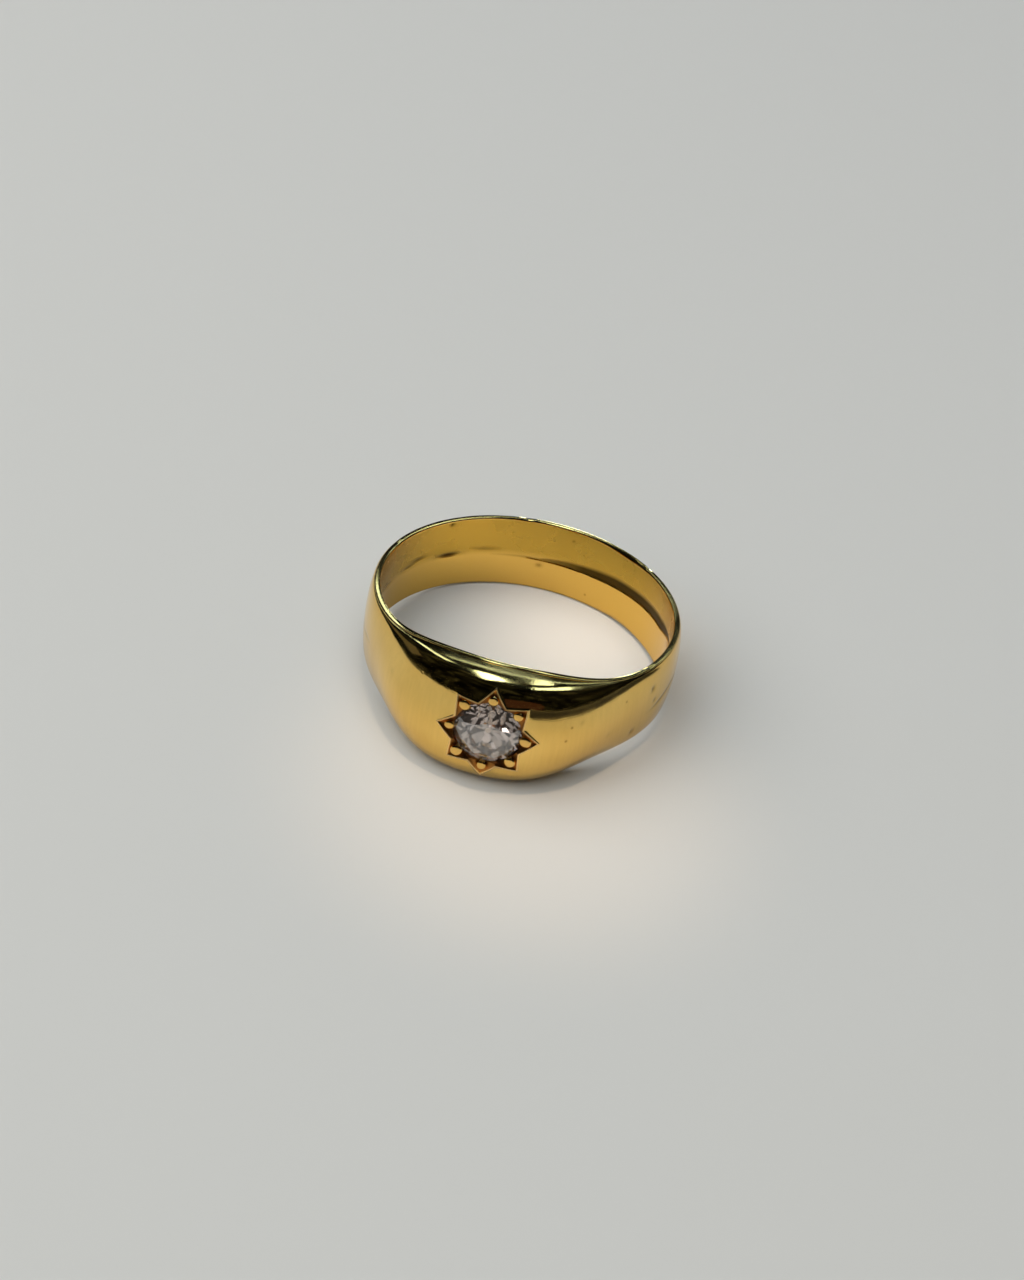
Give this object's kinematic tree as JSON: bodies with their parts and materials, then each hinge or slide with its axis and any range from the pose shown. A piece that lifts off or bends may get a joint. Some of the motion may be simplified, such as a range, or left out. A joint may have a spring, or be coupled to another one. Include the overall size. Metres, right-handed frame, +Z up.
{
  "type": "starburst ring",
  "caption": "Tapered, domed gold finger ring with a round old-cut diamond held by grains in an engraved eight-point star.",
  "frame": {"origin": "middle of the ring's bounding box on the surface that it lies on, with the ring on its side", "axes": "+Z up, nearly along the finger hole; -Y towards the head with the stone; +X to the right of the stone as it is looked at"},
  "size_m": [0.0188, 0.021, 0.0071],
  "materials": {
    "gold": "polished yellow gold, worn, with fine scratches and small pits",
    "diamond": "clear, faceted, faint grey tint"
  },
  "bodies": {
    "root": {"gold_ring": "gold", "diamond": "diamond"}
  },
  "joints": []
}
